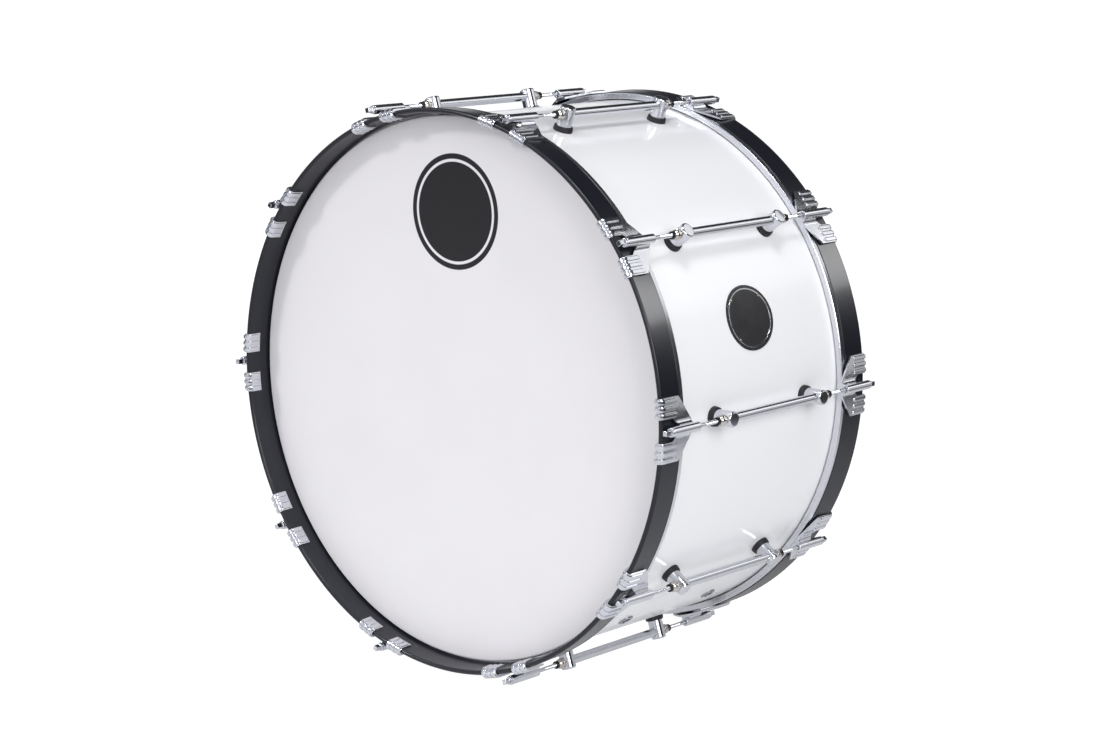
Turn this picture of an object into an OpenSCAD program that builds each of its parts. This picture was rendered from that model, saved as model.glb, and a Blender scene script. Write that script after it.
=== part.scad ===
// Marching bass drum, 28 x 14 in, with ten full-length tube lugs.
// The drum's axis lies along Y, the front head faces -Y and +Z is up.
// The origin is the centre of the shell. A station angle is measured from +Z, clockwise from the front.
// Front parts are modelled as they stand, and rear parts are their mirror images.

/* [Shell] */
// Outside diameter of the wooden shell (28 in)
shell_d = 711.2; // [660.4:50.8:762]
// Distance between the two heads (14 in)
shell_depth = 355.6; // [304.8:50.8:406.4]
// Thickness of the shell ply
shell_wall = 8; // [6:0.5:10]

/* [Hoops and heads] */
// Depth of a hoop along the axis
hoop_depth = 39.4; // [34:0.1:42]
// How far a hoop's front edge stands in front of the head
hoop_proud = 33.7; // [28:0.1:36]
// Outside radius of a hoop beyond the shell's own
hoop_reach = 12.4; // [11:0.1:14]
// Thickness of a hoop at its rounded front edge
hoop_edge = 6.5; // [6:0.1:8]
// Thickness of a hoop at its back edge
hoop_back = 8.8; // [8:0.1:9.5]
// Thickness of the head film
film = 0.3; // [0.25:0.05:0.5]

/* [Lugs] */
// Number of lug stations round the shell
lugs = 10; // [8:2:12]
// Radius from the drum's axis to the tension rods and tubes
rod_axis = 378; // [377:0.5:380]
// Distance of each post from the middle of the shell
post_y = 94; // [80:1:100]
// Diameter of a lug post
post_d = 20; // [18:0.5:22]
// Outside diameter of a lug tube
tube_d = 12; // [11:0.5:13]

/* [Tension rods and claws] */
// Diameter of a tension rod (12-24 thread)
rod_d = 5.5; // [5:0.1:6]
// Length of a tension rod below its square head
rod_length = 122; // [118:1:124]
// Across the flats of the square key head (1/4 in)
key_flats = 6.35; // [6:0.05:7]
// Width of a claw along the hoop
claw_width = 80; // [76:1:90]
// Gap between a claw's two hooks
claw_gap = 28.6; // [26:0.2:32]
// Thickness of a claw's plate
claw_plate = 2.6; // [2:0.1:3]

/* [Hidden] */
sides = ["front", "rear"];
stations = [1:lugs];

$fn = 96;
fine = 720;                                 // facets of a cylinder as large as the drum
eps = 0.01;
touch = 0.1;                                // gap between pieces that rest on each other
clear = 0.3;                                // gap between pieces that move apart

shell_r = shell_d / 2;
shell_in = shell_r - shell_wall;
head_y = shell_depth / 2;                   // the film's inner face
edge_y = head_y - clear;                    // the bearing edges' peaks
station_step = 360 / lugs;

hoop_r = shell_r + hoop_reach;
hoop_front = head_y + hoop_proud;
hoop_rear = hoop_front - hoop_depth;
bead_r = hoop_edge / 2;
bead_y = hoop_front - bead_r;
hoop_in = hoop_r - hoop_edge;

collar_r = shell_r + 2;                     // the film's collar, outside
flesh_r = hoop_r - 2.4;
flesh_h = 7.2;

gasket_d = 25.5;
gasket_top = shell_r + 6.4;
post_top = rod_axis + 10;
tube_wall = 1.4;
tube_end = post_y + post_d / 2 + touch;
nut_flange_r = 7;
nut_nose_r = 4.8;
nut_flange = 3.4;
nut_length = 10;
nut_shank = 14;
nut_tip = tube_end + touch + nut_length;
collar_h = 4;

screw_d = 5.8;
screw_tip = rod_axis - tube_d / 2 - 1.5;
screw_head_r = 5;
screw_head_h = 4;
washer_r = 8;
washer_h = 1.4;
washer_top = sqrt(pow(shell_in, 2) - pow(washer_r, 2)) - touch;

sleeve_r = 6;
sleeve_front = hoop_front - 5.6;
sleeve_rear = hoop_front - 57.5;
rod_washer_h = 0.8;
rod_washer_r = 5.8;
rod_seat = sleeve_front + rod_washer_h + 2 * touch;
rod_collar_r = 5.5;
rod_collar_h = 1.7;
key_h = 9.4;

wing_in = claw_gap / 2;
wing_out = claw_width / 2;
wing_length = 31;                           // a wing's outer edge, back from the hoop's front edge
neck_half = 9.5;
neck_end = 53;                              // where the wings meet behind the sleeve
arch_side = 17.6;                           // the arch's straight sides
arch_end = 27;
leg_length = 17;                            // how far a hook reaches down inside the hoop
rib_h = 1.3;
rib_w = 5;
rib_length = 26;
claw_gap_r = 0.15;                          // a claw's fit on the hoop

badge_w = 92;
badge_h = 84;
badge_t = 1;
badge_angle = 72;
vent_angle = 144;
vent_y = 86;
vent_bore = 6.5;
vent_barrel = 7.5;
vent_flange_r = 10.5;
vent_flange_h = 2.2;
vent_inner = 2.6;

function is_front(s) = s == "front";
function station(k) = station_step * (k - 0.5);
function arc(cx, cy, r, a0, a1, n) =
    [for (i = [0:n]) let (a = a0 + (a1 - a0) * i / n) [cx + r * cos(a), cy + r * sin(a)]];
function flip(points) = [for (p = points) [p[0], -p[1]]];

// Turns a front piece into the piece of the named side.
module on_side(s) {
    if (is_front(s)) children();
    else mirror([0, 1, 0]) children();
}

module on_both_sides() {
    for (s = sides) on_side(s) children();
}

// Places a piece whose local +Z points away from the drum's axis.
module at_angle(phi) {
    rotate([0, phi, 0]) children();
}

module at_stations() {
    for (k = stations) at_angle(station(k)) children();
}

// Revolves [radius, y] points about the drum's axis.
module revolved(points) {
    rotate([-90, 0, 0]) rotate_extrude($fn = 180) polygon(points);
}

// The part of a revolved section within "half" of the top of the drum.
module revolved_slice(points, half) {
    spread = asin(half / hoop_r);
    rotate([-90, 0, 0]) rotate([0, 0, -90 - spread]) rotate_extrude(angle = 2 * spread, $fn = 180)
        polygon(points);
}

// A cylinder along +Y from y0 to y1.
module rod_along(y0, y1, r, r2 = -1) {
    translate([0, y0, 0]) rotate([-90, 0, 0]) cylinder(h = y1 - y0, r1 = r, r2 = r2 < 0 ? r : r2);
}

module outside_shell() {
    difference() {
        children();
        rod_along(-shell_depth / 2, shell_depth / 2, shell_r + touch / 2, $fn = fine);
    }
}

// ---- Shell ----

module shell() {
    end = [[shell_in, edge_y - 5.4], [shell_r - 2.9, edge_y - 0.3], [shell_r - 2.2, edge_y],
           [shell_r - 1.4, edge_y - 0.15], [shell_r - 0.4, edge_y - 1.1], [shell_r, edge_y - 2.4]];
    color("white") difference() {
        revolved(concat(end, [for (i = [len(end) - 1:-1:0]) [end[i][0], -end[i][1]]]));
        at_stations() on_both_sides() translate([0, -post_y, shell_in - 5])
            cylinder(h = shell_wall + 10, d = screw_d + 2 * clear);
        at_angle(vent_angle) on_both_sides() translate([0, -vent_y, shell_in - 5])
            cylinder(h = shell_wall + 10, r = vent_barrel + touch);
    }
}

// A plain oval plate, badge_w along the drum and badge_h across it, bent to the shell.
module badge() {
    seat = shell_r + touch;
    color("dimgray") at_angle(badge_angle) difference() {
        intersection() {
            rod_along(-badge_w, badge_w, seat + badge_t, $fn = fine);
            translate([0, 0, shell_in]) linear_extrude(2 * shell_wall) badge_outline();
        }
        rod_along(-badge_w, badge_w, seat, $fn = fine);
        badge_corners() translate([0, 0, shell_in]) cylinder(h = 2 * shell_wall, r = 1, $fn = 32);
    }
}

module badge_outline() {
    scale([badge_h, badge_w]) circle(d = 1);
}

module badge_corners() {
    for (x = [-1, 1]) for (y = [-1, 1]) translate([x * badge_h * 0.3, y * badge_w * 0.3, 0]) children();
}

module badge_pins() {
    seat = sqrt(pow(shell_r + touch + badge_t, 2) - pow(badge_h * 0.3, 2));
    color("silver") at_angle(badge_angle) badge_corners() {
        translate([0, 0, seat + touch]) cylinder(h = 0.6, r1 = 1.5, r2 = 1.1, $fn = 32);
        translate([0, 0, seat - 0.7]) cylinder(h = 0.8, r = 0.8, $fn = 32);
    }
}

module vent_grommets() {
    top = shell_r + vent_flange_h;
    color("silver") at_angle(vent_angle) on_both_sides() translate([0, -vent_y, 0]) difference() {
        union() {
            outside_shell_at_vent() {
                translate([0, 0, shell_r - 1]) cylinder(h = vent_flange_h, r = vent_flange_r);
                translate([0, 0, top - 1]) cylinder(h = 1, r1 = vent_flange_r, r2 = vent_flange_r - 1);
            }
            translate([0, 0, shell_in - vent_inner]) cylinder(h = top - 1 - shell_in + vent_inner, r = vent_barrel);
            translate([0, 0, shell_in - vent_inner]) cylinder(h = 1.8, r = vent_flange_r - 1);
        }
        translate([0, 0, shell_in - 10]) cylinder(h = shell_wall + 30, r = vent_bore);
    }
}

module outside_shell_at_vent() {
    difference() {
        union() children();
        rod_along(-2 * vent_flange_r, 2 * vent_flange_r, shell_r + touch / 2, $fn = fine);
    }
}

// ---- Lugs, fixed to the shell ----

module lug_gaskets() {
    color("black") at_stations() on_both_sides() translate([0, -post_y, 0]) outside_shell() difference() {
        translate([0, 0, shell_r - 2])
            cylinder(h = gasket_top - shell_r + 2, r1 = gasket_d / 2, r2 = gasket_d / 2 - 0.8);
        translate([0, 0, shell_in]) cylinder(h = 2 * gasket_d, d = screw_d + 2 * clear);
    }
}

module lug_posts() {
    low = gasket_top + touch;
    color("silver") at_stations() on_both_sides() difference() {
        translate([0, -post_y, 0]) {
            translate([0, 0, low]) cylinder(h = post_top - 1 - low, d = post_d);
            translate([0, 0, post_top - 1]) cylinder(h = 1, d1 = post_d, d2 = post_d - 2);
        }
        translate([0, -post_y, low - 1]) cylinder(h = screw_tip - low + 1.3, d = screw_d + touch);
        translate([0, 0, rod_axis]) rod_along(-post_y - post_d, -post_y + post_d, tube_d / 2 + touch / 2);
    }
}

module lug_tubes() {
    color("silver") at_stations() translate([0, 0, rod_axis]) difference() {
        rod_along(-tube_end, tube_end, tube_d / 2);
        rod_along(-tube_end - 1, tube_end + 1, tube_d / 2 - tube_wall);
    }
}

module lug_nuts() {
    base = -tube_end - touch;
    color("goldenrod") at_stations() on_both_sides() translate([0, 0, rod_axis]) difference() {
        union() {
            rod_along(base - eps, base + nut_shank, tube_d / 2 - tube_wall - touch);
            rod_along(base - nut_flange, base, nut_flange_r);
            rod_along(-nut_tip, base - nut_flange, nut_nose_r, nut_flange_r - 0.6);
        }
        rod_along(-nut_tip - 1, base + nut_shank + 1, rod_d / 2 + 0.06);
    }
}

module nut_collars() {
    color("black") at_stations() on_both_sides() translate([0, 0, rod_axis]) difference() {
        rod_along(-nut_tip - touch - collar_h, -nut_tip - touch, 5.1);
        rod_along(-nut_tip - 10, -nut_tip + 10, rod_d / 2 + clear);
    }
}

module lug_screws() {
    head_top = washer_top - washer_h - touch;
    color("gray") at_stations() on_both_sides() translate([0, -post_y, 0]) {
        translate([0, 0, head_top - eps]) cylinder(h = screw_tip - head_top, d = screw_d);
        translate([0, 0, head_top - screw_head_h]) cylinder(h = screw_head_h, r = screw_head_r, $fn = 6);
    }
}

module screw_washers() {
    color("silver") at_stations() on_both_sides() translate([0, -post_y, washer_top - washer_h]) difference() {
        cylinder(h = washer_h, r = washer_r);
        translate([0, 0, -1]) cylinder(h = washer_h + 2, d = screw_d + clear);
    }
}

// ---- Hoops and heads, which slide together ----

module hoop(s) {
    section = concat(
        [[hoop_r - hoop_back, -hoop_rear], [hoop_r - hoop_back, -head_y - 1.2]],
        arc(hoop_r - bead_r, -bead_y, bead_r, 180, 360, 12),
        [[hoop_r, -hoop_rear - 1], [hoop_r - 1, -hoop_rear]]
    );
    color("black") on_side(s) revolved(section);
}

module head_film(s) {
    outer = [[0, head_y + film], [shell_r - 1.3, head_y + film], [shell_r + 1.1, head_y - 1.6],
             [collar_r, head_y - 5], [collar_r, hoop_rear - 4]];
    inner = [[collar_r - film, hoop_rear - 4], [collar_r - film, head_y - 5], [shell_r + 0.8, head_y - 1.8],
             [shell_r - 1.4, head_y], [0, head_y]];
    color("whitesmoke") on_side(s) revolved(flip(concat(outer, inner)));
}

module flesh_hoop(s) {
    top = hoop_rear - touch;
    color("silver") on_side(s) revolved(flip([
        [collar_r + touch, top], [flesh_r, top], [flesh_r, top - flesh_h + 1],
        [flesh_r - 1, top - flesh_h], [collar_r + touch, top - flesh_h]
    ]));
}

// A claw's section, between "low" and "high" off the hoop: forward along the hoop's outside from "back",
// over its front edge and "leg" deep down its inner wall.
function hook_section(low, high, back, leg) =
    let (slope = (hoop_back - hoop_edge) / (bead_y - head_y),
         inner = hoop_in - slope * (leg - bead_r))
    concat(
        [[hoop_r + low, -hoop_front + back]],
        arc(hoop_r - bead_r, -bead_y, bead_r + low, 360, 180, 10),
        [[inner - low, -hoop_front + leg], [inner - high, -hoop_front + leg]],
        arc(hoop_r - bead_r, -bead_y, bead_r + high, 180, 360, 10),
        [[hoop_r + high, -hoop_front + back]]
    );

// A claw's outline, laid flat: x along the hoop, y back from its front edge.
module claw_outline() {
    ahead = -2 * claw_plate;
    half = [[0, arch_end], [sleeve_r, arch_end], [wing_in, arch_side], [wing_in, ahead],
            [wing_out, ahead], [wing_out, wing_length], [neck_half, neck_end], [0, neck_end]];
    polygon(concat(half, [for (i = [len(half) - 2:-1:1]) [-half[i][0], half[i][1]]]));
}

module rib_outlines() {
    inset = 1.6;
    step = (wing_out - wing_in - rib_w - 2 * inset) / 2;
    for (m = [0, 1]) mirror([m, 0]) for (i = [0:2])
        translate([wing_in + inset + i * step, -2 * claw_plate]) square([rib_w, rib_length + 4 * claw_plate]);
}

// The part of a claw's section that stands over a flat outline.
module over_outline(points) {
    intersection() {
        revolved_slice(points, wing_out + 6);
        translate([0, -hoop_front, hoop_r - 2 * leg_length]) linear_extrude(3 * leg_length) children();
    }
}

module claw_body() {
    low = claw_gap_r;
    high = low + claw_plate;
    over_outline(hook_section(low, high, neck_end + 2, leg_length)) claw_outline();
    over_outline(hook_section(low + claw_plate / 2, high + rib_h, rib_length, leg_length - 2)) rib_outlines();
    // The saddle that carries the sleeve
    translate([0, -hoop_front + neck_end - 1, 0]) rotate([90, 0, 0]) linear_extrude(neck_end - arch_end - 1.5)
        polygon([[-neck_half, hoop_r + 1], [neck_half, hoop_r + 1], [sleeve_r - 0.5, rod_axis],
                 [-sleeve_r + 0.5, rod_axis]]);
    translate([0, 0, rod_axis]) rod_along(-sleeve_front, -sleeve_rear, sleeve_r);
}

module claw(s, k) {
    color("silver") at_angle(station(k)) on_side(s) difference() {
        claw_body();
        translate([0, 0, rod_axis]) rod_along(-sleeve_front - 1, -sleeve_rear + 1, rod_d / 2 + clear + 0.05);
    }
}

module rod_washers(s) {
    color("silver") at_stations() on_side(s) translate([0, 0, rod_axis]) difference() {
        rod_along(-rod_seat + touch, -sleeve_front - touch, rod_washer_r);
        rod_along(-rod_seat - 1, -sleeve_front + 1, rod_d / 2 + clear);
    }
}

module tension_rod(s, k) {
    tip = -rod_seat + rod_length;
    key_y = -rod_seat - rod_collar_h;
    color("silver") at_angle(station(k)) on_side(s) translate([0, 0, rod_axis]) {
        rod_along(-rod_seat - eps, tip - 1, rod_d / 2);
        rod_along(tip - 1 - eps, tip, rod_d / 2, rod_d / 2 - 0.8);
        rod_along(-rod_seat - rod_collar_h, -rod_seat, rod_collar_r);
        translate([-key_flats / 2, key_y - key_h, -key_flats / 2]) cube([key_flats, key_h + eps, key_flats]);
    }
}

shell();
badge();
badge_pins();
vent_grommets();
lug_posts();
lug_tubes();
lug_gaskets();
lug_nuts();
nut_collars();
lug_screws();
screw_washers();
for (s = sides) {
    hoop(s);
    head_film(s);
    flesh_hoop(s);
    rod_washers(s);
    for (k = stations) {
        claw(s, k);
        tension_rod(s, k);
    }
}
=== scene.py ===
"""Looks for the marching bass drum: white lacquered shell, black hoops, chrome claws, rods and tube lugs."""

import math

import bmesh
import bpy
from mathutils import Matrix, Vector


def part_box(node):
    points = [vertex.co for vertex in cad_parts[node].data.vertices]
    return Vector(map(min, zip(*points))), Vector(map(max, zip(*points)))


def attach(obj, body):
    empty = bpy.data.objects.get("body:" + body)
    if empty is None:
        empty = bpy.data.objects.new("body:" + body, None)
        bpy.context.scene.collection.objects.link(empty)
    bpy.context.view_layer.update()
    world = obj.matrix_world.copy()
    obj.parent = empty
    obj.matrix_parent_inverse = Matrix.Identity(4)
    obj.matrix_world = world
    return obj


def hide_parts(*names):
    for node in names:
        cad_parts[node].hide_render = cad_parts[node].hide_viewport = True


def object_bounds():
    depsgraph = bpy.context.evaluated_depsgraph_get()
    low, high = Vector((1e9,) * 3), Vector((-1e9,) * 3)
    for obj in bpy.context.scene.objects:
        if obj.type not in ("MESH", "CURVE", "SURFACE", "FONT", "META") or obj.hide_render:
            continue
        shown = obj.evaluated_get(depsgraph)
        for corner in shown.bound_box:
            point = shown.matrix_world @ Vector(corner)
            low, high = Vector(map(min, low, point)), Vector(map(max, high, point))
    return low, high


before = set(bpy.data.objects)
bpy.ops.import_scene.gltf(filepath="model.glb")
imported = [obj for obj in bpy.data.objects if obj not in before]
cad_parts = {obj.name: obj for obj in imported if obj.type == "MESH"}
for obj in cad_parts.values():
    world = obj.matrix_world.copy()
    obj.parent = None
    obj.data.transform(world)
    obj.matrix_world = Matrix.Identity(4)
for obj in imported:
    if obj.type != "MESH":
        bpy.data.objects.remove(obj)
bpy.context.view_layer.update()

MM = 0.001
SIDES = ("front", "rear")
LUGS = 10
LUG_STEP = 360 / LUGS

# ---- Sizes in millimetres, in the part's frame. Front pieces are built, and turned round for the rear. ----

# The hoops. HOOP_EDGE and HOOP_BACK are how thick one is at its half-round front edge and behind it.
hoop_low, hoop_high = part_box("front_hoop")
HOOP_R = hoop_high.x / MM
HOOP_FRONT = -hoop_low.y / MM
HOOP_REAR = -hoop_high.y / MM
HOOP_EDGE = 6.5
HOOP_BACK = 8.8
BEAD_R = HOOP_EDGE / 2
BEAD_Y = HOOP_FRONT - BEAD_R

# The shell and the heads, with the film's collar and the flesh hoop round it.
SHELL_R = 355.6
SHELL_IN = 347.6
HEAD_Y = 177.8
FILM = 0.3
COLLAR_R = SHELL_R + 2
FLESH_R = 365.6
FLESH_H = 7.2

# The lugs and tension rods. Distances from the drum's axis, or along it from its middle.
ROD_AXIS = 378
POST_Y = 94
POST_R = 10
POST_LOW = 362.1
POST_TOP = ROD_AXIS + 10
GASKET_R = 12.75
GASKET_TOP = SHELL_R + 6.4
TUBE_R = 6
TUBE_IN = 4.6
TUBE_END = 104.1
NUT_SHANK = 14
NUT_NOSE = 10
NUT_BASE = TUBE_END + 0.1
NUT_TIP = NUT_BASE + NUT_NOSE
NUT_BORE = 2.81
NYLON_H = 4
NYLON_IN = 3.05
ROD_R = 2.75
ROD_LENGTH = 122
ROD_SEAT = 206.9
ROD_TIP = ROD_SEAT - ROD_LENGTH
THREAD_LENGTH = 58
THREAD_END = ROD_TIP + THREAD_LENGTH
THREAD_PITCH = 25.4 / 24
THREAD_DEPTH = 0.46
KEY = 6.35
KEY_H = 9.4
SHOULDER_R = 5.5
WASHER_IN = 3.05
WASHER_R = 5.8
WASHER_H = 0.8

# The claws: a plate over the hoop, with a sleeve for the rod between two wings that have three ribs each. The
# wings join behind an arch, and narrow to a neck. Lengths are measured back from the hoop's front edge.
SLEEVE_R = 6
SLEEVE_BORE = ROD_R + 0.35
SLEEVE_FRONT = 5.6
SLEEVE_REAR = 57.5
CLAW_LOW = 0.15
CLAW_PLATE = 2.6
RIB_H = 1.6
RIB_HALF = 2.5
RIB_FLANK = 0.9
RIB_INSET = 1.6
RIB_OUTSIDE = 26
RIB_INSIDE = 15
SADDLE_H = 5.2
SADDLE_HALF = 10.5
SADDLE_START = 21.5
SADDLE_RISE = 5.5
WING_IN = 14.3
WING_OUT = 40
WING_LENGTH = 31
NECK_HALF = 9.5
NECK_END = 53
ARCH_SIDE = 17.6
ARCH_END = 27

# The badge and the vents. Angles are from the top, clockwise from the front.
BADGE_ANGLE = 72
BADGE_HALF = (42, 46)
BADGE_PINS = 0.6
VENT_ANGLE = 144
VENT_Y = 86
VENT_BORE = 6.5
VENT_NECK = 7.5
VENT_BACK_R = 9.5
VENT_RIM_R = 10.5

# ---- Sizes of the paintwork, in metres. The mark is a plain black disc high on the front head. ----
LACQUER_STARTS = SHELL_R * MM - 0.0019
LACQUER_FULL = SHELL_R * MM - 0.0014
PLY = 0.0013
MARK_Z = 0.2334
MARK_R = 0.0746
MARK_RING_R = 0.066
MARK_RING_HALF = 0.0016
MARK_EDGE = 0.0005

# ---- The camera, as fitted to the photograph, in metres ----
SENSOR = 36.0
LENS = 84.4925
CAMERA_PLACE = (2.26088428, -2.56654484, 0.62281138)
CAMERA_RIGHT = (0.7513438336, 0.6599068182, -0.0023313051)
CAMERA_UP = (-0.1150564451, 0.1344757358, 0.9842145553)

# ---- The floor, in metres. Only the floor near the drum, mostly before its front, sends light back up. ----
FLOOR_HALF = 30
FLOOR_GAP = 0.0005
BOUNCE_CENTRE = (-0.2, -0.9)
BOUNCE_FULL = 1.7
BOUNCE_NONE = 2.9
BOUNCE_GLOW = 0.40
FLOOR_SEEN = 0.97

# ---- The room that the drum reflects: (share of the way towards its bright side, brightness) ----
BRIGHT_SIDE = (-0.25, -0.9, 0.25)
ROOM_STOPS = [(0.0, 0.06), (0.40, 0.10), (0.55, 0.40), (0.70, 0.85), (1.0, 1.1)]
ROOM_TINT = (0.95, 0.97, 1.06)
ROOM_STRENGTH = 0.62
SKY_SEEN = 1.3


def station(k):
    """The angle of a lug from the top of the drum, clockwise from the front."""
    return LUG_STEP * (k - 0.5)


# ---- Meshes ----


def turned(degrees):
    """Turns a piece built at the top of the drum to a station angle."""
    return Matrix.Rotation(math.radians(degrees), 4, "Y")


def moved(x, y, z):
    """Shifts a piece."""
    return Matrix.Translation(Vector((x, y, z)))


# A rear piece is a front one turned half round the vertical, which keeps its thread right-handed.
TO_SIDE = {"front": Matrix.Identity(4), "rear": Matrix.Rotation(math.pi, 4, "Z")}


def rounded(corners, steps=5):
    """A closed 2-D outline from (a, b, radius) corners, with each corner turned into an arc."""
    out = []
    count = len(corners)
    for i, (a, b, radius) in enumerate(corners):
        here = Vector((a, b))
        if radius <= 0:
            out.append((a, b))
            continue
        before = (Vector(corners[i - 1][:2]) - here)
        after = (Vector(corners[(i + 1) % count][:2]) - here)
        u, v = before.normalized(), after.normalized()
        angle = u.angle(v)
        reach = min(radius / math.tan(angle / 2), before.length * 0.49, after.length * 0.49)
        r = reach * math.tan(angle / 2)
        centre = here + (u + v).normalized() * (r / math.sin(angle / 2))
        start, end = here + u * reach - centre, here + v * reach - centre
        sweep = start.angle(end)
        turn = 1 if start.x * end.y - start.y * end.x > 0 else -1
        for s in range(steps + 1):
            t = turn * sweep * s / steps
            c, n = math.cos(t), math.sin(t)
            out.append((centre.x + start.x * c - start.y * n, centre.y + start.x * n + start.y * c))
    return out


def arc(a, b, radius, start, end, steps):
    """Points on an arc about (a, b), angles in degrees."""
    out = []
    for i in range(steps + 1):
        t = math.radians(start + (end - start) * i / steps)
        out.append((a + radius * math.cos(t), b + radius * math.sin(t)))
    return out


def lathe(profile, segments, axis="Y"):
    """A closed solid of revolution from a closed (radius, along) outline."""
    bm = bmesh.new()
    rings = []
    for i in range(segments):
        t = 2 * math.pi * i / segments
        s, c = math.sin(t), math.cos(t)
        if axis == "Y":
            rings.append([bm.verts.new((r * s, y, r * c)) for r, y in profile])
        else:
            rings.append([bm.verts.new((r * c, r * s, y)) for r, y in profile])
    count = len(profile)
    for i in range(segments):
        here, after = rings[i], rings[(i + 1) % segments]
        for j in range(count):
            k = (j + 1) % count
            bm.faces.new((here[j], here[k], after[k], after[j]))
    bmesh.ops.remove_doubles(bm, verts=bm.verts, dist=1e-5)
    bmesh.ops.dissolve_degenerate(bm, dist=1e-6, edges=bm.edges)
    bmesh.ops.recalc_face_normals(bm, faces=bm.faces)
    return bm


def mesh_of(bm, name):
    """Turns a bmesh into a mesh and frees it."""
    mesh = bpy.data.meshes.new(name)
    bm.to_mesh(mesh)
    bm.free()
    return mesh


def copies(mesh, matrices):
    """One mesh holding a copy of mesh at each place."""
    bm = bmesh.new()
    for m in matrices:
        part = mesh.copy()
        part.transform(m)
        bm.from_mesh(part)
        bpy.data.meshes.remove(part)
    return bm


def through_modifiers(mesh, *adders):
    """The mesh after modifiers that each adder puts on a scratch object."""
    scratch = bpy.data.objects.new("scratch", mesh)
    bpy.context.scene.collection.objects.link(scratch)
    for add in adders:
        add(scratch)
    bpy.context.view_layer.update()
    done = bpy.data.meshes.new_from_object(scratch.evaluated_get(bpy.context.evaluated_depsgraph_get()))
    bpy.data.objects.remove(scratch)
    return done


def with_bevel(width, segments=3, limit=50):
    """An adder for through_modifiers that rounds the edges sharper than limit degrees."""

    def add(o):
        m = o.modifiers.new("bevel", "BEVEL")
        m.width = width
        m.segments = segments
        m.limit_method = "ANGLE"
        m.angle_limit = math.radians(limit)

    return add


def with_boolean(other, operation):
    """An adder for through_modifiers that joins another object's mesh or takes it away."""

    def add(o):
        m = o.modifiers.new("cut", "BOOLEAN")
        m.object = other
        m.operation = operation
        m.solver = "EXACT"

    return add


def combined(mesh, other, operation):
    """One mesh joined with another, or cut by it."""
    cutter = bpy.data.objects.new("cutter", other)
    bpy.context.scene.collection.objects.link(cutter)
    done = through_modifiers(mesh, with_boolean(cutter, operation))
    bpy.data.objects.remove(cutter)
    return done


def piece(name, mesh, body, node, slot, *materials, sharp=35):
    """Scales a mesh from millimetres, shades it and lets it ride on a body in place of a CAD node."""
    mesh.transform(Matrix.Scale(MM, 4))
    mesh.name = name
    obj = bpy.data.objects.new(name, mesh)
    bpy.context.scene.collection.objects.link(obj)
    if materials:
        mesh.materials.clear()
        for m in materials:
            mesh.materials.append(m)
    mesh.shade_smooth()
    mesh.set_sharp_from_angle(angle=math.radians(sharp))
    w = obj.modifiers.new("normals", "WEIGHTED_NORMAL")
    w.keep_sharp = True
    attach(obj, body)
    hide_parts(node)
    return obj


# ---- Materials ----


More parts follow.
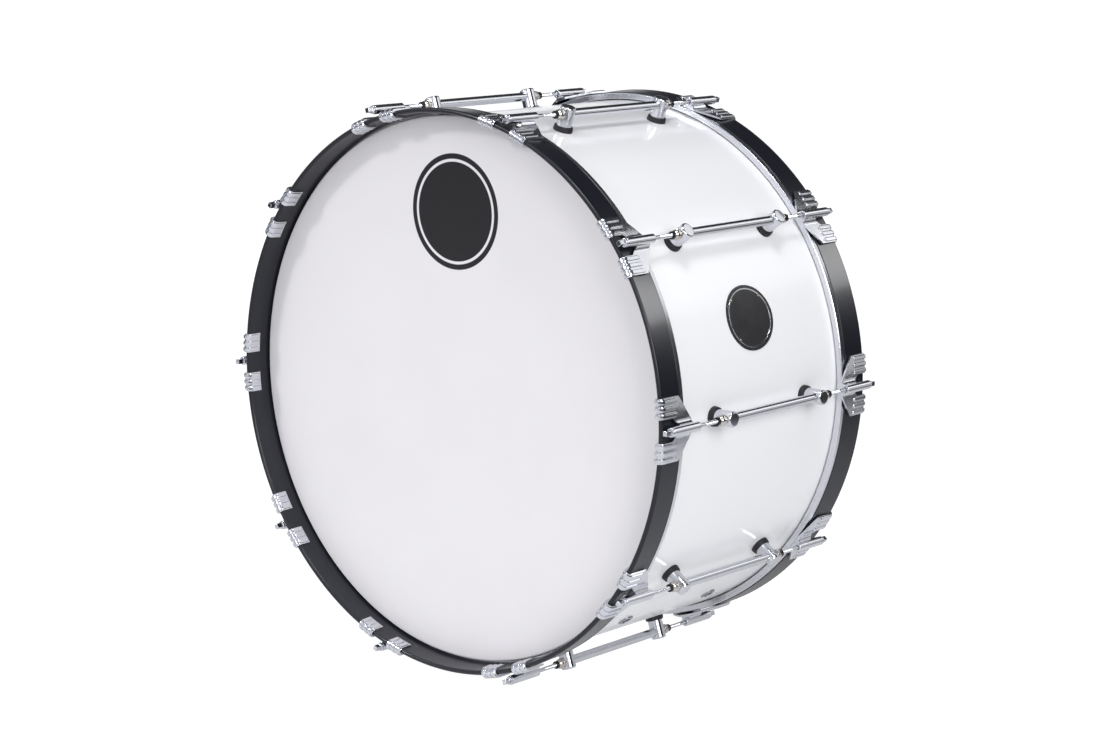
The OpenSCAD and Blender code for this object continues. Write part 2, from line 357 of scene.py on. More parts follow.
class Paint:
    """A Principled material, with short names for the nodes used below."""

    def __init__(self, name, **constants):
        self.material = bpy.data.materials.new(name)
        self.material.use_nodes = True
        self.tree = self.material.node_tree
        self.tree.nodes.clear()
        self.shader = self.tree.nodes.new("ShaderNodeBsdfPrincipled")
        out = self.tree.nodes.new("ShaderNodeOutputMaterial")
        self.tree.links.new(self.shader.outputs[0], out.inputs[0])
        for key, value in constants.items():
            self.shader.inputs[key.replace("_", " ")].default_value = value
        self.place = self.node("ShaderNodeTexCoord").outputs["Object"]
        self.x, self.y, self.z = self.split(self.place)

    def node(self, kind, **settings):
        """A new node with its settings."""
        n = self.tree.nodes.new(kind)
        for key, value in settings.items():
            setattr(n, key, value)
        return n

    def feed(self, socket, value):
        """Links a socket to another node's output, or sets it to a number or colour."""
        if isinstance(value, bpy.types.NodeSocket):
            self.tree.links.new(value, socket)
        else:
            socket.default_value = value

    def split(self, vector):
        n = self.node("ShaderNodeSeparateXYZ")
        self.feed(n.inputs[0], vector)
        return n.outputs

    def join(self, x, y, z):
        n = self.node("ShaderNodeCombineXYZ")
        for socket, value in zip(n.inputs, (x, y, z)):
            self.feed(socket, value)
        return n.outputs[0]

    def math(self, operation, *values):
        n = self.node("ShaderNodeMath", operation=operation)
        for socket, value in zip(n.inputs, values):
            self.feed(socket, value)
        return n.outputs[0]

    def radius(self):
        """The distance from the drum's axis."""
        xx = self.math("MULTIPLY", self.x, self.x)
        return self.math("SQRT", self.math("MULTIPLY_ADD", self.z, self.z, xx))

    def noise(self, scale, detail=3.0, roughness=0.5, vector=None, w=None):
        """Noise over the object's own coordinates, or over a given vector and fourth coordinate."""
        n = self.node("ShaderNodeTexNoise", noise_dimensions="4D" if w is not None else "3D")
        self.feed(n.inputs["Vector"], self.place if vector is None else vector)
        if w is not None:
            self.feed(n.inputs["W"], w)
        n.inputs["Scale"].default_value = scale
        n.inputs["Detail"].default_value = detail
        n.inputs["Roughness"].default_value = roughness
        return n.outputs[0]

    def streaks(self, along=3.0, across=900.0, detail=4.0):
        """Noise drawn out round the drum's axis, as turning, brushing or grain leaves it."""
        xyz = self.join(
            self.math("MULTIPLY", self.x, along),
            self.math("MULTIPLY", self.y, across),
            self.math("MULTIPLY", self.z, along),
        )
        return self.noise(1.0, detail, 0.6, xyz, self.math("MULTIPLY", self.radius(), across))

    def ranged(self, value, low, high, to_low=0.0, to_high=1.0):
        """A value mapped from one range to another and held inside it."""
        n = self.node("ShaderNodeMapRange", clamp=True)
        for socket, v in zip(n.inputs, (value, low, high, to_low, to_high)):
            self.feed(socket, v)
        return n.outputs[0]

    def mix(self, share, first, second):
        """The first colour where share is 0, the second where it is 1."""
        n = self.node("ShaderNodeMix", data_type="RGBA")
        self.feed(n.inputs[0], share)
        self.feed(n.inputs[6], (*first, 1.0) if isinstance(first, tuple) else first)
        self.feed(n.inputs[7], (*second, 1.0) if isinstance(second, tuple) else second)
        return n.outputs[2]

    def bump(self, height, distance, strength=1.0, normal=None):
        """A normal from a height, on top of another normal if one is given."""
        n = self.node("ShaderNodeBump")
        n.inputs["Strength"].default_value = strength
        n.inputs["Distance"].default_value = distance
        self.feed(n.inputs["Height"], height)
        if normal is not None:
            self.feed(n.inputs["Normal"], normal)
        return n.outputs[0]

    def set(self, **values):
        """Feeds the shader's inputs and gives back the finished material."""
        for key, value in values.items():
            self.feed(self.shader.inputs[key.replace("_", " ")], value)
        return self.material


def lacquer():
    """White gloss lacquer outside, bare maple ply inside and on the bearing edges."""
    p = Paint("white_lacquer", Specular_IOR_Level=0.4, Coat_Weight=0.3, Coat_Roughness=0.06, Coat_IOR=1.5)
    r = p.radius()
    painted = p.ranged(r, LACQUER_STARTS, LACQUER_FULL)
    cloud = p.noise(3.0, 2.0)
    white = p.mix(cloud, (0.895, 0.898, 0.915), (0.92, 0.92, 0.93))
    layers = p.math("FRACT", p.math("MULTIPLY", r, 1 / PLY))
    ply = p.math("MULTIPLY_ADD", p.streaks(30.0, 420.0), 0.75, p.math("MULTIPLY", layers, 0.25))
    wood = p.mix(ply, (0.42, 0.25, 0.12), (0.72, 0.52, 0.32))
    peel = p.noise(260.0, 2.0)
    wave = p.noise(22.0, 1.0)
    normal = p.bump(peel, 0.00002, 0.35, p.bump(wave, 0.00025, 0.25))
    rough = p.math("MULTIPLY_ADD", p.noise(60.0, 4.0), 0.09, 0.17)
    rough = p.math("MAXIMUM", rough, p.ranged(painted, 0.0, 1.0, 0.55, 0.0))
    return p.set(Base_Color=p.mix(painted, wood, white), Roughness=rough, Normal=normal)


def hoop_black():
    """Satin black lacquer over maple, rubbed round the hoop."""
    p = Paint("black_lacquer", Specular_IOR_Level=0.3, Coat_Weight=0.25, Coat_Roughness=0.13)
    grain = p.streaks(2.0, 1500.0)
    broad = p.streaks(5.0, 140.0, 2.0)
    tint = p.mix(broad, (0.005, 0.006, 0.010), (0.011, 0.012, 0.0185))
    rough = p.math("MULTIPLY_ADD", grain, 0.16, 0.25)
    normal = p.bump(grain, 0.00003, 0.5, p.bump(broad, 0.00008, 0.25))
    return p.set(Base_Color=tint, Roughness=rough, Normal=normal)


def film(name, marked):
    """Smooth white film with a faint mottle. The front one carries a plain black disc with a thin ring."""
    p = Paint(name, Specular_IOR_Level=0.3, Sheen_Weight=0.08)
    mottle = p.noise(9.0, 3.0)
    fine = p.noise(700.0, 2.0)
    colour = p.mix(mottle, (0.755, 0.735, 0.742), (0.80, 0.78, 0.788))
    rough = p.math("MULTIPLY_ADD", fine, 0.12, 0.36)
    height = p.math("MULTIPLY_ADD", fine, 0.4, mottle)
    if marked:
        dz = p.math("SUBTRACT", p.z, MARK_Z)
        d = p.math("SQRT", p.math("MULTIPLY_ADD", dz, dz, p.math("MULTIPLY", p.x, p.x)))
        disc = p.ranged(d, MARK_R, MARK_R + MARK_EDGE, 1.0, 0.0)
        off_ring = p.math("ABSOLUTE", p.math("SUBTRACT", d, MARK_RING_R))
        ring = p.ranged(off_ring, MARK_RING_HALF, MARK_RING_HALF + MARK_EDGE, 1.0, 0.0)
        ink = p.math("MULTIPLY", disc, p.math("SUBTRACT", 1.0, ring))
        ink_colour = p.mix(fine, (0.011, 0.010, 0.012), (0.020, 0.018, 0.021))
        colour = p.mix(ink, colour, ink_colour)
        rough = p.math("MULTIPLY_ADD", ink, -0.08, rough)
    return p.set(Base_Color=colour, Roughness=rough, Normal=p.bump(height, 0.00012, 0.25))


def metal(name, light, dark, rough, spread, wave=0.0, grain=0.0, brushed=False):
    """A plated or brushed metal: slow waves from casting, fine polishing marks and a slight haze."""
    p = Paint(name, Metallic=1.0)
    haze = p.noise(45.0, 4.0)
    marks = p.streaks(8.0, 2400.0) if brushed else p.noise(900.0, 3.0, 0.6)
    colour = p.mix(haze, dark, light)
    mixed = p.math("ADD", p.math("MULTIPLY", haze, 0.5), p.math("MULTIPLY", marks, 0.5))
    normal = p.bump(marks, 0.00001, grain or 0.05)
    if wave:
        normal = p.bump(p.noise(130.0, 2.0), 0.0004, wave, normal)
    return p.set(Base_Color=colour, Roughness=p.math("MULTIPLY_ADD", mixed, spread, rough), Normal=normal)


def dark_rubber(name, light, dark, rough):
    """Black rubber or nylon with a fine moulded grain."""
    p = Paint(name, Specular_IOR_Level=0.35)
    fine = p.noise(1400.0, 3.0, 0.65)
    colour = p.mix(p.noise(90.0, 3.0), dark, light)
    return p.set(Base_Color=colour, Roughness=p.math("MULTIPLY_ADD", fine, 0.18, rough),
                 Normal=p.bump(fine, 0.00005, 0.5))


def enamel(name, light, dark, rough):
    """Satin black enamel under a thin clear coat."""
    p = Paint(name, Specular_IOR_Level=0.3, Coat_Weight=0.08, Coat_Roughness=0.2)
    fine = p.noise(600.0, 3.0)
    return p.set(Base_Color=p.mix(p.noise(60.0, 3.0), dark, light),
                 Roughness=p.math("MULTIPLY_ADD", fine, 0.12, rough), Normal=p.bump(fine, 0.00003, 0.3))


SHELL_PAINT = lacquer()
HOOP_PAINT = hoop_black()
FRONT_FILM = film("film_front", True)
REAR_FILM = film("film_rear", False)
CHROME = metal("chrome_tube", (0.70, 0.71, 0.75), (0.62, 0.63, 0.67), 0.09, 0.05)
DARK_CHROME = metal("chrome_dark", (0.40, 0.40, 0.43), (0.30, 0.30, 0.33), 0.12, 0.05)
CAST_CHROME = metal("chrome_cast", (0.78, 0.79, 0.83), (0.62, 0.63, 0.67), 0.11, 0.08, wave=0.3)
ALUMINIUM = metal("rolled_aluminium", (0.76, 0.77, 0.81), (0.66, 0.67, 0.71), 0.2, 0.08, grain=0.12,
                  brushed=True)
ZINC = metal("zinc_plate", (0.62, 0.62, 0.63), (0.48, 0.48, 0.49), 0.28, 0.2, grain=0.3)
NUT = metal("nickelled_brass", (0.66, 0.63, 0.60), (0.50, 0.46, 0.42), 0.12, 0.12, grain=0.2)
PIN = metal("brass_pin", (0.80, 0.62, 0.45), (0.66, 0.48, 0.33), 0.2, 0.1)
RUBBER = dark_rubber("gasket_rubber", (0.024, 0.024, 0.028), (0.012, 0.012, 0.014), 0.42)
NYLON = dark_rubber("black_nylon", (0.018, 0.018, 0.02), (0.008, 0.008, 0.009), 0.3)
BADGE_BLACK = enamel("badge_enamel", (0.045, 0.045, 0.048), (0.022, 0.022, 0.025), 0.28)
BADGE_LINE = metal("badge_line", (0.78, 0.79, 0.82), (0.68, 0.69, 0.72), 0.2, 0.12)

# ---- Shell and the parts fixed to it ----


def repaint(node, material):
    """Gives a CAD node that stays as it is a better material."""
    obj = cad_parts[node]
    obj.data.materials.clear()
    obj.data.materials.append(material)


repaint("shell", SHELL_PAINT)
repaint("lug_screws", ZINC)
repaint("screw_washers", ZINC)


def on_both_rows(matrix):
    """The places of a piece on each lug, from its place at the top of the front row."""
    out = []
    for k in range(1, LUGS + 1):
        out += [turned(station(k)) @ TO_SIDE[s] @ matrix for s in SIDES]
    return out


def onto_shell(bm, gap=0.05):
    """Bends the foot of a radial piece, at the top of the drum, to the shell. The foot is its lowest 0.6 mm."""
    foot = min(v.co.z for v in bm.verts)
    for v in bm.verts:
        if v.co.z < foot + 0.6:
            v.co.z += math.sqrt((SHELL_R + gap) ** 2 - v.co.x**2) - foot
    return bm


def gaskets():
    """Rubber feet between the posts and the shell."""
    outline = rounded([(2, SHELL_R, 0), (GASKET_R, SHELL_R, 0.0), (GASKET_R, SHELL_R + 1.2, 0.5),
                       (GASKET_R - 0.8, GASKET_TOP, 0.9), (2, GASKET_TOP, 0)])
    mesh = mesh_of(onto_shell(lathe(outline, 64, "Z")), "gasket")
    piece("lug_gaskets_rubber", mesh_of(copies(mesh, on_both_rows(moved(0, -POST_Y, 0))), "gaskets"),
          "root", "lug_gaskets", "gasket_rubber", RUBBER)


def posts():
    """Round posts, each drilled across for its tube."""
    outline = rounded([(0, POST_LOW, 0), (POST_R, POST_LOW, 0.4), (POST_R, POST_TOP, 2.4), (0, POST_TOP, 0)])
    body = mesh_of(lathe(outline, 72, "Z"), "post")
    hole = lathe([(0, -20), (TUBE_R + 0.05, -20), (TUBE_R + 0.05, 20), (0, 20)], 48)
    bmesh.ops.translate(hole, verts=hole.verts, vec=(0, 0, ROD_AXIS))
    drilled = combined(body, mesh_of(hole, "hole"), "DIFFERENCE")
    piece("lug_posts_chrome", mesh_of(copies(drilled, on_both_rows(moved(0, -POST_Y, 0))), "posts"),
          "root", "lug_posts", "chrome", CHROME)


def at_rod_axis(bm):
    """Lifts a piece from the drum's axis to the axis of the rod at the top of the drum."""
    bmesh.ops.translate(bm, verts=bm.verts, vec=(0, 0, ROD_AXIS))
    return bm


def tubes():
    """The long lug tubes, one across each pair of posts."""
    lip = 0.35
    outline = rounded([(TUBE_IN, -TUBE_END, lip), (TUBE_R, -TUBE_END, lip), (TUBE_R, TUBE_END, lip),
                       (TUBE_IN, TUBE_END, lip)], 3)
    mesh = mesh_of(at_rod_axis(lathe(outline, 64)), "tube")
    places = [turned(station(k)) for k in range(1, LUGS + 1)]
    piece("lug_tubes_chrome", mesh_of(copies(mesh, places), "tubes"), "root", "lug_tubes", "chrome", CHROME)


def nuts():
    """Turned nuts in both ends of each tube, with a nylon collar on each."""
    y = -NUT_BASE
    outline = [(NUT_BORE, y + NUT_SHANK, 0), (4.5, y + NUT_SHANK, 0.3), (4.5, y, 0.0), (7.0, y, 0.5),
               (7.0, y - 2.6, 0.5), (6.1, y - 3.0, 0.2), (6.1, y - 3.5, 0.2), (6.6, y - 3.9, 0.4),
               (6.35, y - 6.6, 2.5), (4.8, y - 9.2, 1.5), (4.8, y - NUT_NOSE, 0.35),
               (NUT_BORE, y - NUT_NOSE, 0.2)]
    mesh = mesh_of(at_rod_axis(lathe(rounded(outline), 48)), "nut")
    piece("lug_nuts_brass", mesh_of(copies(mesh, on_both_rows(Matrix.Identity(4))), "nuts"),
          "root", "lug_nuts", "nut_brass", NUT)
    y = -NUT_TIP - 0.1
    ring = rounded([(NYLON_IN, y, 0.2), (5.1, y, 0.5), (5.1, y - NYLON_H, 0.9), (NYLON_IN, y - NYLON_H, 0.3)])
    mesh = mesh_of(at_rod_axis(lathe(ring, 40)), "collar")
    piece("nut_collars_nylon", mesh_of(copies(mesh, on_both_rows(Matrix.Identity(4))), "collars"),
          "root", "nut_collars", "collar_nylon", NYLON)


def badge():
    """A plain oval plate bent to the shell, with a raised pale line near its edge and four pins."""
    half_across, half_along = BADGE_HALF
    seat = SHELL_R + 0.1
    # (share of the way out, height over the seat): the face, the line, the rim, the edge and the underside
    rings = [(0.0, 1.0), (0.3, 1.0), (0.6, 1.0), (0.80, 1.0), (0.865, 1.0), (0.87, 1.25), (0.90, 1.28),
             (0.905, 1.0), (0.975, 1.0), (0.99, 0.93), (1.0, 0.75), (1.0, 0.0), (0.6, 0.0), (0.0, 0.0)]
    line = range(4, 7)
    segments = 144
    bm = bmesh.new()
    grid = []
    for share, height in rings:
        ring = []
        for i in range(segments):
            t = 2 * math.pi * i / segments
            a = share * half_across * math.cos(t) / seat
            r = seat + height
            ring.append(bm.verts.new((r * math.sin(a), share * half_along * math.sin(t), r * math.cos(a))))
        grid.append(ring)
    for i in range(len(rings) - 1):
        for j in range(segments):
            k = (j + 1) % segments
            f = bm.faces.new((grid[i][j], grid[i][k], grid[i + 1][k], grid[i + 1][j]))
            f.material_index = 1 if i in line else 0
    bmesh.ops.remove_doubles(bm, verts=bm.verts, dist=1e-4)
    bmesh.ops.recalc_face_normals(bm, faces=bm.faces)
    mesh = mesh_of(bm, "badge")
    mesh.transform(turned(BADGE_ANGLE))
    obj = piece("badge_plate_oval", mesh, "root", "badge", "badge_plate")
    obj.data.materials.append(BADGE_BLACK)
    obj.data.materials.append(BADGE_LINE)
    x, y = half_across * BADGE_PINS, half_along * BADGE_PINS
    top = math.sqrt((seat + 1) ** 2 - x * x)
    outline = rounded([(0, top - 0.6, 0), (0.8, top - 0.6, 0), (0.8, top + 0.1, 0), (1.5, top + 0.1, 0.1),
                       (1.5, top + 0.35, 0.3), (0.9, top + 0.7, 0.5), (0, top + 0.7, 0)])
    pin = mesh_of(lathe(outline, 32, "Z"), "pin")
    places = [turned(BADGE_ANGLE) @ moved(a * x, b * y, 0) for a in (-1, 1) for b in (-1, 1)]
    piece("badge_pins_brass", mesh_of(copies(pin, places), "pins"), "root", "badge_pins", "chrome", PIN)


def vents():
    """Two grommets through the shell."""
    outline = rounded([(VENT_BORE, SHELL_IN - 2.6, 0.4), (VENT_BACK_R, SHELL_IN - 2.6, 0.5),
                       (VENT_BACK_R, SHELL_IN - 0.8, 0.3), (VENT_NECK, SHELL_IN - 0.8, 0),
                       (VENT_NECK, SHELL_R + 0.15, 0), (VENT_RIM_R, SHELL_R + 0.15, 0.2),
                       (VENT_RIM_R, SHELL_R + 1.0, 0.7), (VENT_RIM_R - 1.3, SHELL_R + 2.2, 0.9),
                       (VENT_BORE, SHELL_R + 2.2, 0.8)])
    mesh = mesh_of(lathe(outline, 64, "Z"), "vent")
    places = [turned(VENT_ANGLE) @ moved(0, y, 0) for y in (-VENT_Y, VENT_Y)]
    piece("vent_grommets_metal", mesh_of(copies(mesh, places), "vents"), "root", "vent_grommets", "chrome",
          DARK_CHROME)


gaskets()
posts()
tubes()
nuts()
badge()
vents()

# ---- Hoops and heads ----


def hoop_mesh(side):
    """A hoop with a half-round front edge, which grows a little thicker from that edge back to the head."""
    back, inner = -HOOP_REAR, HOOP_R - HOOP_BACK
    outline = rounded([(HOOP_R, back, 0.8), (inner, back, 0.8), (inner, -HEAD_Y - 1.2, 0)], 4)
    outline += arc(HOOP_R - BEAD_R, -BEAD_Y, BEAD_R, 180, 360, 28)
    mesh = mesh_of(lathe(outline, 540), "hoop")
    mesh.transform(TO_SIDE[side])
    return mesh


def film_mesh(side):
    """A flat sheet that turns over the bearing edge into a collar round the shell."""
    y = -HEAD_Y
    top = [(0, y - FILM), (120, y - FILM), (240, y - FILM), (330, y - FILM), (SHELL_R - 1.6, y - FILM)]
    crown = [(SHELL_R - 0.6, y - FILM + 0.08), (SHELL_R + 0.3, y + 0.25), (SHELL_R + 1.0, y + 1.1),
             (SHELL_R + 1.5, y + 2.4), (SHELL_R + 1.85, y + 3.8), (COLLAR_R, y + 5.2),
             (COLLAR_R, -HOOP_REAR + 4)]
    inner = [(r - FILM, max(h, y + 0.02)) for r, h in reversed(crown)]
    under = [(r, y) for r, _ in reversed(top)]
    mesh = mesh_of(lathe(top + crown + inner + under, 360), "film")
    mesh.transform(TO_SIDE[side])
    return mesh


def flesh_mesh(side):
    """The head's own rolled hoop, which shows between the wooden hoop and the shell."""
    y = -HOOP_REAR + 0.1
    r0, r1 = COLLAR_R + 0.1, FLESH_R
    outline = rounded([(r0, y, 0.3), (r1, y, 0.5), (r1, y + FLESH_H - 1.0, 0.6), (r1 - 1.0, y + FLESH_H, 0.6),
                       (r0, y + FLESH_H, 0.4)], 4)
    mesh = mesh_of(lathe(outline, 540), "flesh")
    mesh.transform(TO_SIDE[side])
    return mesh


# ---- Claws ----


def smooth(t):
    """0 below 0 and 1 above 1, with a soft start and end between them."""
    t = min(1.0, max(0.0, t))
    return t * t * (3 - 2 * t)


def rib_centres():
    """How far each of a wing's three ribs is from the middle of the claw."""
    first, last = WING_IN + RIB_INSET + RIB_HALF, WING_OUT - RIB_INSET - RIB_HALF
    return [first, (first + last) / 2, last]


def claw_rows():
    """Rows over the hoop, from the claw's rear end, round the front edge and down to its inner end.

    A row is (distance from the front edge, point on the hoop's section, its outward normal, place along the
    ribs). The place along the ribs is 0 at the front edge, positive outside the hoop and negative inside it.
    Rows lie close together where the ribs end and where the arch between the wings begins.
    """
    rows = []
    outside = (53, 51.6, 49, 46, 43, 40, 37, 34, 31, 29.4, 28.2, 27, 26.4, 25.9, 25.4, 24.8, 24.2, 23.4, 21.5,
               19.5, 17.6, 14, 10, 6.5)
    inside = (6, 9, 11.5, 12.4, 13.0, 13.6, 14.1, 14.6, 15.1, 15.8, 17)
    steps = 14
    for y in outside:
        rows.append((y, (HOOP_R, y), (1, 0), y))
    for i in range(steps + 1):
        t = math.radians(180 * i / steps)
        n = (math.cos(t), -math.sin(t))
        rows.append((0, (HOOP_R - BEAD_R + BEAD_R * n[0], BEAD_R + BEAD_R * n[1]), n, 0))
    slope = (HOOP_BACK - HOOP_EDGE) / (BEAD_Y - HEAD_Y)
    for y in inside:
        rows.append((0, (HOOP_R - HOOP_EDGE - slope * (y - BEAD_R), y), (-1, 0), -y))
    return rows


def wing_span(y):
    """A wing's inner and outer edges at a distance back from the hoop's front edge."""
    if y <= ARCH_SIDE:
        inner = WING_IN
    elif y < ARCH_END:
        inner = WING_IN + (SLEEVE_R - WING_IN) * (y - ARCH_SIDE) / (ARCH_END - ARCH_SIDE)
    else:
        inner = SLEEVE_R
    outer = WING_OUT
    if y > WING_LENGTH:
        outer += (NECK_HALF - WING_OUT) * (y - WING_LENGTH) / (NECK_END - WING_LENGTH)
    return inner, outer


def wing_columns():
    """Columns across a wing at its widest: shares of its inner margin, then places from the claw's middle.

    The places lie close together on both flanks of each rib.
    """
    margin = [0, 0.13, 0.28, 0.44, 0.62, 0.8]
    half = (0, 1.1, 1.9, 2.2, 2.5, 2.8, 3.1)
    across = [-d for d in reversed(half[1:])] + list(half)
    places = [WING_IN + 0.9]
    for c in rib_centres():
        places += [c + d for d in across]
    return margin, places + [WING_OUT]


def rib_height(x, along):
    """Ribs are round-ended and run over the hoop's front edge, further outside the hoop than inside it."""
    best = 0.0
    for c in rib_centres():
        past = max(0.0, along - (RIB_OUTSIDE - RIB_HALF), -along - (RIB_INSIDE - RIB_HALF))
        off = math.hypot(abs(x) - c, past)
        best = max(best, smooth((RIB_FLANK / 2 - off + RIB_HALF) / RIB_FLANK))
    return RIB_H * best


def saddle_height(x, y):
    """The web that carries the sleeve rises between the wings."""
    half = min(SADDLE_HALF, wing_span(y)[1])
    share = min(1.0, max(0.0, (1 - abs(x) / half) / 0.5))
    return SADDLE_H * share**2.2 * smooth((y - SADDLE_START) / SADDLE_RISE)


def claw_plate():
    """The bent plate of a claw, with its ribs and saddle, at the top of the front hoop."""
    bm = bmesh.new()
    margin, fixed = wing_columns()
    edge = fixed[0]

    def point(row, x, top):
        y, (r, along), n, place = row
        lift = CLAW_LOW + (CLAW_PLATE + rib_height(x, place) + saddle_height(x, y) if top else 0)
        radius = r + n[0] * lift
        return bm.verts.new((x, -HOOP_FRONT + along + n[1] * lift, math.sqrt(radius**2 - x * x)))

    def columns(row):
        inner, outer = wing_span(row[0])
        wide = (outer - inner) / (WING_OUT - inner)
        base = [inner + m * (edge - inner) for m in margin] + fixed
        return [inner + (x - inner) * wide for x in base]

    rows = claw_rows()
    sheets = {}
    for top in (True, False):
        for sign in (1, -1):
            sheets[sign, top] = [[point(row, sign * x, top) for x in columns(row)] for row in rows]
    middle_rows = [row for row in rows if row[0] >= ARCH_END]
    centre = {top: [point(row, 0.0, top) for row in middle_rows] for top in (True, False)}

    def quad(*verts):
        bm.faces.new(verts)

    last = len(margin) + len(fixed) - 1
    for i in range(len(rows) - 1):
        for sign in (1, -1):
            for top in (True, False):
                s = sheets[sign, top]
                for j in range(last):
                    quad(s[i][j], s[i][j + 1], s[i + 1][j + 1], s[i + 1][j])
            t, b = sheets[sign, True], sheets[sign, False]
            quad(t[i][last], t[i + 1][last], b[i + 1][last], b[i][last])
            if i >= len(middle_rows) - 1:
                quad(t[i][0], t[i + 1][0], b[i + 1][0], b[i][0])
    for i in range(len(middle_rows) - 1):
        for top in (True, False):
            c = centre[top]
            for sign in (1, -1):
                s = sheets[sign, top]
                quad(c[i], s[i][0], s[i + 1][0], c[i + 1])
    for i in (0, len(rows) - 1):
        for sign in (1, -1):
            t, b = sheets[sign, True], sheets[sign, False]
            for j in range(last):
                quad(t[i][j], t[i][j + 1], b[i][j + 1], b[i][j])
    for i in (0, len(middle_rows) - 1):
        for sign in (1, -1):
            t, b = sheets[sign, True], sheets[sign, False]
            quad(centre[True][i], t[i][0], b[i][0], centre[False][i])
    bmesh.ops.recalc_face_normals(bm, faces=bm.faces)
    return mesh_of(bm, "plate")


def claw_master():
    """A whole claw at the top of the front hoop: the plate and the sleeve that the rod runs through."""
    plate = through_modifiers(claw_plate(), with_bevel(0.55, 2, 55))
    y0, y1 = -HOOP_FRONT + SLEEVE_FRONT, -HOOP_FRONT + SLEEVE_REAR
    outline = rounded([(SLEEVE_BORE, y0, 0.4), (SLEEVE_R, y0, 0.8), (SLEEVE_R, y1, 0.8),
                       (SLEEVE_BORE, y1, 0.4)])
    return combined(plate, mesh_of(at_rod_axis(lathe(outline, 64)), "sleeve"), "UNION")


# ---- Tension rods ----


def rod_master():
    """A rod with a rolled thread, a round shoulder and a square key head, at the top of the front row."""
    around = 20
    bm = bmesh.new()
    rings = []
    stops = [ROD_TIP, ROD_TIP + 0.4]
    turns = int((THREAD_END - ROD_TIP - 1) / THREAD_PITCH)
    stops += [ROD_TIP + 0.8 + i * THREAD_PITCH / 4 for i in range(turns * 4 + 1)]
    thread_stop = stops[-1]
    stops += [thread_stop + 0.8, ROD_SEAT - 0.2]
    for y in stops:
        ring = []
        for i in range(around):
            t = 2 * math.pi * i / around
            phase = (y / THREAD_PITCH - i / around) % 1
            depth = THREAD_DEPTH * abs(2 * phase - 1)
            depth *= smooth((thread_stop - y) / 1.5)
            r = ROD_R - 0.02 - depth
            if y < ROD_TIP + 0.8:
                r = min(r, ROD_R - 0.8 + (y - ROD_TIP))
            ring.append(bm.verts.new((r * math.sin(t), -y, r * math.cos(t))))
        rings.append(ring)
    for a, b in zip(rings, rings[1:]):
        for i in range(around):
            k = (i + 1) % around
            bm.faces.new((a[i], a[k], b[k], b[i]))
    bm.faces.new(rings[0])
    bm.faces.new(rings[-1])
    bmesh.ops.recalc_face_normals(bm, faces=bm.faces)
    shaft = mesh_of(bm, "shaft")
    y0, y1 = -ROD_SEAT, -ROD_SEAT - 1.7
    outline = rounded([(0, y0 + 0.3, 0), (ROD_R, y0 + 0.3, 0), (ROD_R, y0, 0), (SHOULDER_R, y0, 0.3),
                       (SHOULDER_R, y1, 0.6), (4.2, y1 - 0.25, 0.3), (0, y1 - 0.25, 0)])
    shoulder = mesh_of(lathe(outline, 48), "shoulder")
    key = bmesh.new()
    bmesh.ops.create_cube(key, size=1)
    for v in key.verts:
        outward = v.co.y < 0
        v.co = Vector((v.co.x * KEY, y1 - KEY_H if outward else y1 + 0.5, v.co.z * KEY))
    key = through_modifiers(mesh_of(key, "key"), with_bevel(0.55, 3))
    whole = bmesh.new()
    for part in (shaft, shoulder, key):
        whole.from_mesh(part)
    return mesh_of(at_rod_axis(whole), "rod")


def washer_master():
    """The washer between a rod's shoulder and the sleeve of its claw."""
    y0 = -ROD_SEAT + 0.1
    y1 = y0 + WASHER_H
    outline = rounded([(WASHER_IN, y0, 0.1), (WASHER_R, y0, 0.25), (WASHER_R, y1, 0.25),
                       (WASHER_IN, y1, 0.1)], 3)
    return mesh_of(at_rod_axis(lathe(outline, 48)), "washer")


claw = claw_master()
rod = rod_master()
washer = washer_master()
for side in SIDES:
    group = f"{side}_hoop_group"
    piece(f"{side}_hoop_wood", hoop_mesh(side), group, f"{side}_hoop", "hoop_lacquer", HOOP_PAINT)
    piece(f"{side}_head", film_mesh(side), group, f"{side}_head_film", "head_film",
          FRONT_FILM if side == "front" else REAR_FILM)
    piece(f"{side}_flesh_hoop_alloy", flesh_mesh(side), group, f"{side}_flesh_hoop", "flesh_aluminium",
          ALUMINIUM)
    places = [turned(station(k)) @ TO_SIDE[side] for k in range(1, LUGS + 1)]
    piece(f"{side}_rod_washers_steel", mesh_of(copies(washer, places), "washers"), group,
          f"{side}_rod_washers", "chrome", CHROME)
    for k, place in enumerate(places, 1):
        for master, label, body, paint in (
            (claw, "claw", group, CAST_CHROME),
            (rod, "rod", f"{side}_rod_{k}", CHROME),
        ):
            mesh = master.copy()
            mesh.transform(place)
            piece(f"{side}_{label}_{k}_chrome", mesh, body, f"{side}_{label}_{k}", "chrome", paint)

# ---- Floor, light and camera ----

shown_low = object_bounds()[0]


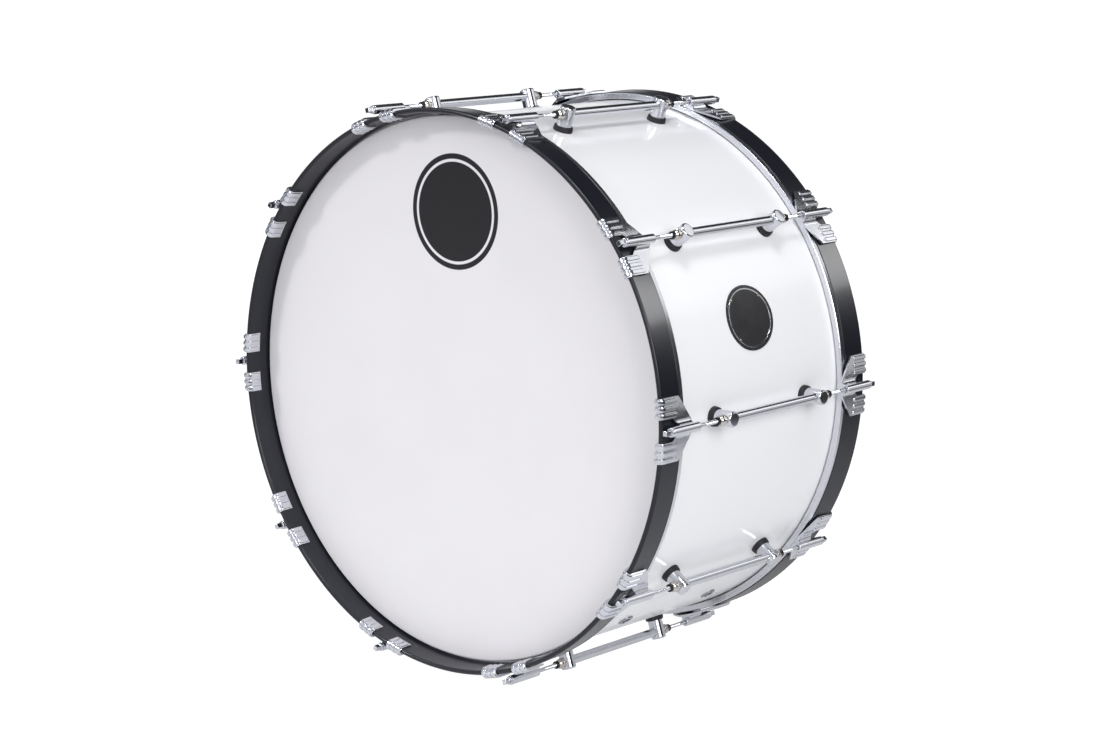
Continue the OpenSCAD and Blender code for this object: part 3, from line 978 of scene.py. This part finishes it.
def floor():
    """A plain pale floor. The camera sees it evenly bright, and only the part near the drum lights it."""
    mesh = bpy.data.meshes.new("floor")
    z = shown_low.z - FLOOR_GAP
    corners = [(a * FLOOR_HALF, b * FLOOR_HALF, z) for a, b in ((-1, -1), (1, -1), (1, 1), (-1, 1))]
    mesh.from_pydata(corners, [], [(0, 1, 2, 3)])
    obj = bpy.data.objects.new("floor", mesh)
    bpy.context.scene.collection.objects.link(obj)
    p = Paint("floor", Specular_IOR_Level=0.1)
    cloud = p.noise(4.0, 2.0)
    path = p.node("ShaderNodeLightPath").outputs["Is Camera Ray"]
    here = p.node("ShaderNodeTexCoord").outputs["Object"]
    away = p.node("ShaderNodeVectorMath", operation="DISTANCE")
    p.feed(away.inputs[0], here)
    away.inputs[1].default_value = (*BOUNCE_CENTRE, z)
    distance = away.outputs["Value"]
    glow = p.ranged(distance, BOUNCE_FULL, BOUNCE_NONE, BOUNCE_GLOW, 0.0)
    seen = p.mix(cloud, (0.2, 0.2, 0.202), (0.22, 0.22, 0.22))
    near = p.ranged(distance, BOUNCE_FULL, BOUNCE_NONE, 1.0, 0.0)
    lit = p.mix(near, (0.05, 0.05, 0.05), (0.42, 0.425, 0.44))
    p.set(Base_Color=p.mix(path, lit, seen), Roughness=0.7, Emission_Strength=1.0,
          Emission_Color=p.mix(path, p.join(glow, glow, glow), (FLOOR_SEEN, FLOOR_SEEN, FLOOR_SEEN)))
    mesh.materials.append(p.material)


def softbox(name, place, target, size, radiance, diffuse=True, only=()):
    """A rectangular area light of an even radiance, whatever its size. The camera never sees it.

    Without diffuse it shows only as a reflection. With only, it reaches just those objects.
    """
    light = bpy.data.lights.new(name, "AREA")
    light.shape = "RECTANGLE"
    light.size, light.size_y = size
    light.energy = radiance * math.pi * size[0] * size[1]
    obj = bpy.data.objects.new(name, light)
    bpy.context.scene.collection.objects.link(obj)
    obj.location = place
    obj.rotation_euler = (Vector(target) - Vector(place)).to_track_quat("-Z", "Y").to_euler()
    obj.visible_camera = False
    obj.visible_diffuse = diffuse
    if only:
        lit = bpy.data.collections.new(f"{name}_lights")
        for other in only:
            lit.objects.link(other)
        obj.light_linking.receiver_collection = lit


def room():
    """Brightest from the upper left of the front, dark behind and to the right, as the hoops reflect it."""
    world = bpy.data.worlds.new("studio")
    bpy.context.scene.world = world
    world.use_nodes = True
    tree = world.node_tree
    tree.nodes.clear()
    out = tree.nodes.new("ShaderNodeOutputWorld")
    seen = tree.nodes.new("ShaderNodeBackground")
    seen.inputs["Color"].default_value = (1, 1, 1, 1)
    seen.inputs["Strength"].default_value = SKY_SEEN
    reflected = tree.nodes.new("ShaderNodeBackground")
    coord = tree.nodes.new("ShaderNodeTexCoord")
    towards = tree.nodes.new("ShaderNodeVectorMath")
    towards.operation = "DOT_PRODUCT"
    towards.inputs[1].default_value = Vector(BRIGHT_SIDE).normalized()
    ramp = tree.nodes.new("ShaderNodeValToRGB")
    scale = tree.nodes.new("ShaderNodeMapRange")
    tree.links.new(coord.outputs["Generated"], towards.inputs[0])
    tree.links.new(towards.outputs["Value"], scale.inputs[0])
    scale.inputs[1].default_value = -1.0
    scale.inputs[2].default_value = 1.0
    tree.links.new(scale.outputs[0], ramp.inputs[0])
    elements = ramp.color_ramp.elements
    while len(elements) < len(ROOM_STOPS):
        elements.new(0.5)
    for element, (at, value) in zip(elements, ROOM_STOPS):
        element.position = at
        element.color = (*(value * tint for tint in ROOM_TINT), 1)
    tree.links.new(ramp.outputs[0], reflected.inputs["Color"])
    reflected.inputs["Strength"].default_value = ROOM_STRENGTH
    camera_ray = tree.nodes.new("ShaderNodeLightPath")
    mix = tree.nodes.new("ShaderNodeMixShader")
    tree.links.new(camera_ray.outputs["Is Camera Ray"], mix.inputs[0])
    tree.links.new(reflected.outputs[0], mix.inputs[1])
    tree.links.new(seen.outputs[0], mix.inputs[2])
    tree.links.new(mix.outputs[0], out.inputs[0])


def lights():
    """Soft lights for the whole drum, then those that reach only the hoops, the chrome or the rear head."""
    softbox("key", (0.7, -4.2, 1.2), (0, -0.1, 0.1), (2.8, 2.2), 1.2)
    softbox("rim_left", (-1.9, -2.6, 2.3), (-0.1, -0.15, 0.2), (0.45, 0.45), 60.0)
    softbox("right", (3.5, -1.3, 1.4), (0.1, 0, 0), (2.2, 2.0), 5.8)
    softbox("top", (1.0, -0.5, 3.0), (0.1, 0, 0), (0.8, 0.8), 15.5)
    softbox("backdrop", (-3.4, 3.9, 0.4), (0, 0, 0), (4.6, 1.7), 1.0)
    softbox("back_right", (1.66, 2.05, 1.5), (0.25, -0.1, 0.1), (1.3, 1.1), 1.1, diffuse=False)
    hoops = [bpy.data.objects[f"{side}_hoop_wood"] for side in SIDES]
    softbox("hoop_edge", (1.88, 2.01, 1.24), (0.34, -0.19, 0.14), (1.0, 0.8), 8.0, diffuse=False, only=hoops)
    meshes = [o for o in bpy.data.objects if o.type == "MESH"]
    chrome = [o for o in meshes if any("chrome" in m.name for m in o.data.materials if m)]
    softbox("chrome_back", (0.9, 2.6, 0.5), (0.2, 0, 0), (4.4, 1.7), 0.55, diffuse=False, only=chrome)
    softbox("rear", (-0.7, 4.2, 1.2), (0, 0.1, 0), (2.8, 2.2), 5.0, only=[bpy.data.objects["rear_head"]])


def camera():
    """Stands where the photograph was taken from."""
    data = bpy.data.cameras.new("camera")
    data.sensor_width = SENSOR
    data.lens = LENS
    obj = bpy.data.objects.new("camera", data)
    bpy.context.scene.collection.objects.link(obj)
    right, up = Vector(CAMERA_RIGHT), Vector(CAMERA_UP)
    turn = Matrix((right, up, right.cross(up))).transposed().to_4x4()
    obj.matrix_world = Matrix.Translation(CAMERA_PLACE) @ turn
    data.clip_start, data.clip_end = 0.05, 100
    bpy.context.scene.camera = obj


floor()
room()
lights()
camera()
bpy.context.scene.view_settings.view_transform = "Standard"
